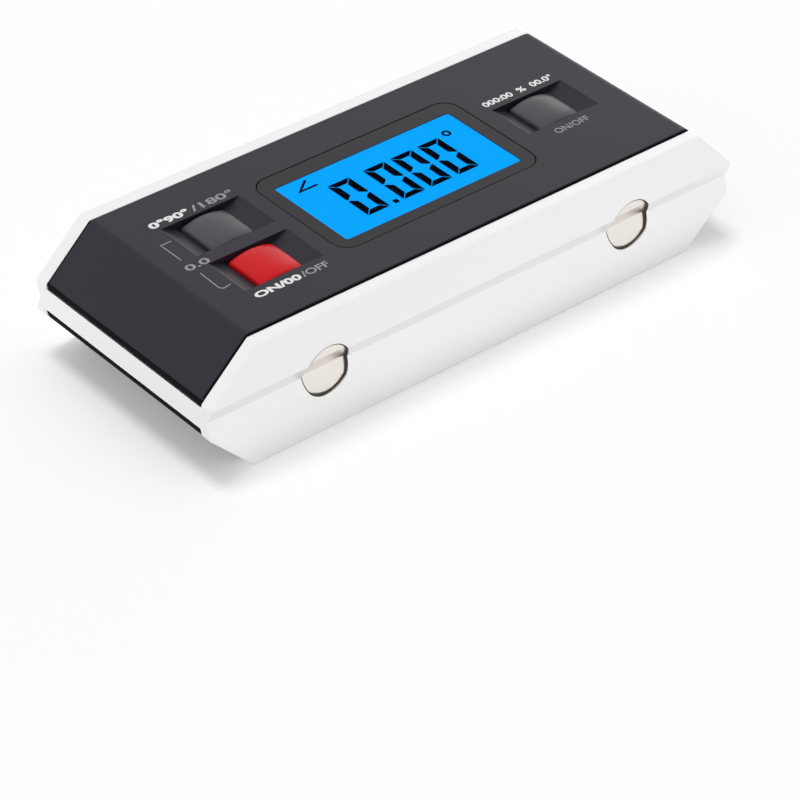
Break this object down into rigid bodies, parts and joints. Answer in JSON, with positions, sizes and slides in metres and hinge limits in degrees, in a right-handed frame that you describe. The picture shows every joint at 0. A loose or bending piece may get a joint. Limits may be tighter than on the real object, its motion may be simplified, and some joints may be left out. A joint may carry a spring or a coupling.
{
  "type": "digital angle gauge",
  "caption": "Pocket digital angle gauge: grooved aluminium frame with 45 degree ends, black covers, blue display, crowned keys, magnetic edge and a screwed battery door.",
  "frame": {"origin": "middle of the back, on the plane that the gauge rests on when it lies face up", "axes": "+X along the long side towards the single key, +Y across, away from the edge with the magnets, +Z out of the front face"},
  "size_m": [0.152, 0.06, 0.0319],
  "materials": {
    "satin_aluminium": "satin, machined and clear anodised",
    "case_black": "fine moulded grain",
    "key_grey": "smooth satin",
    "key_red": "smooth satin",
    "lens_tint": "gloss, printed border",
    "lcd_blue": "lit blue with black segments",
    "white_plastic": "plain",
    "contact_rubber": "matt",
    "board_green": "solder mask",
    "chip_black": "matt",
    "magnet_nickel": "nickel plated",
    "bright_steel": "bright zinc",
    "brass": "plain",
    "battery_sleeve": "plain printed sleeve",
    "lead_insulation": "plain",
    "label_orange": "paper label",
    "label_white": "paper label"
  },
  "bodies": {
    "case": {"frame": "satin_aluminium", "front_cover": "case_black", "rear_cover": "case_black", "display_lens": "lens_tint", "lcd_panel": "lcd_blue", "backlight": "white_plastic", "contact_strip_near": "contact_rubber", "contact_strip_far": "contact_rubber", "circuit_board": "board_green", "tilt_sensor": "bright_steel", "processor": "chip_black", "buzzer": "chip_black", "hold_switch": "chip_black", "power_switch": "chip_black", "light_switch": "chip_black", "magnet_left": "magnet_nickel", "magnet_right": "magnet_nickel", "battery_door": "case_black", "door_screw": "bright_steel", "door_insert": "brass", "battery": "battery_sleeve", "battery_snap": "chip_black", "lead_positive": "lead_insulation", "lead_negative": "lead_insulation", "case_screw_1": "bright_steel", "case_screw_2": "bright_steel", "case_screw_3": "bright_steel", "case_screw_4": "bright_steel", "screw_plug_1": "case_black", "screw_plug_2": "case_black", "screw_plug_3": "case_black", "screw_plug_4": "case_black", "orange_label": "label_orange", "oval_label": "label_white"},
    "hold_key": {"hold_button": "key_grey", "hold_plunger": "white_plastic"},
    "power_key": {"power_button": "key_red", "power_plunger": "white_plastic"},
    "light_key": {"light_button": "key_grey", "light_plunger": "white_plastic"}
  },
  "joints": [
    {"name": "hold_press", "type": "slide", "parent": "case", "child": "hold_key", "axis": [0, 0, -1], "range_m": [0, 0.0008], "stiffness_N_per_m": 1500},
    {"name": "power_press", "type": "slide", "parent": "case", "child": "power_key", "axis": [0, 0, -1], "range_m": [0, 0.0008], "stiffness_N_per_m": 1500},
    {"name": "light_press", "type": "slide", "parent": "case", "child": "light_key", "axis": [0, 0, -1], "range_m": [0, 0.0008], "stiffness_N_per_m": 1500}
  ]
}
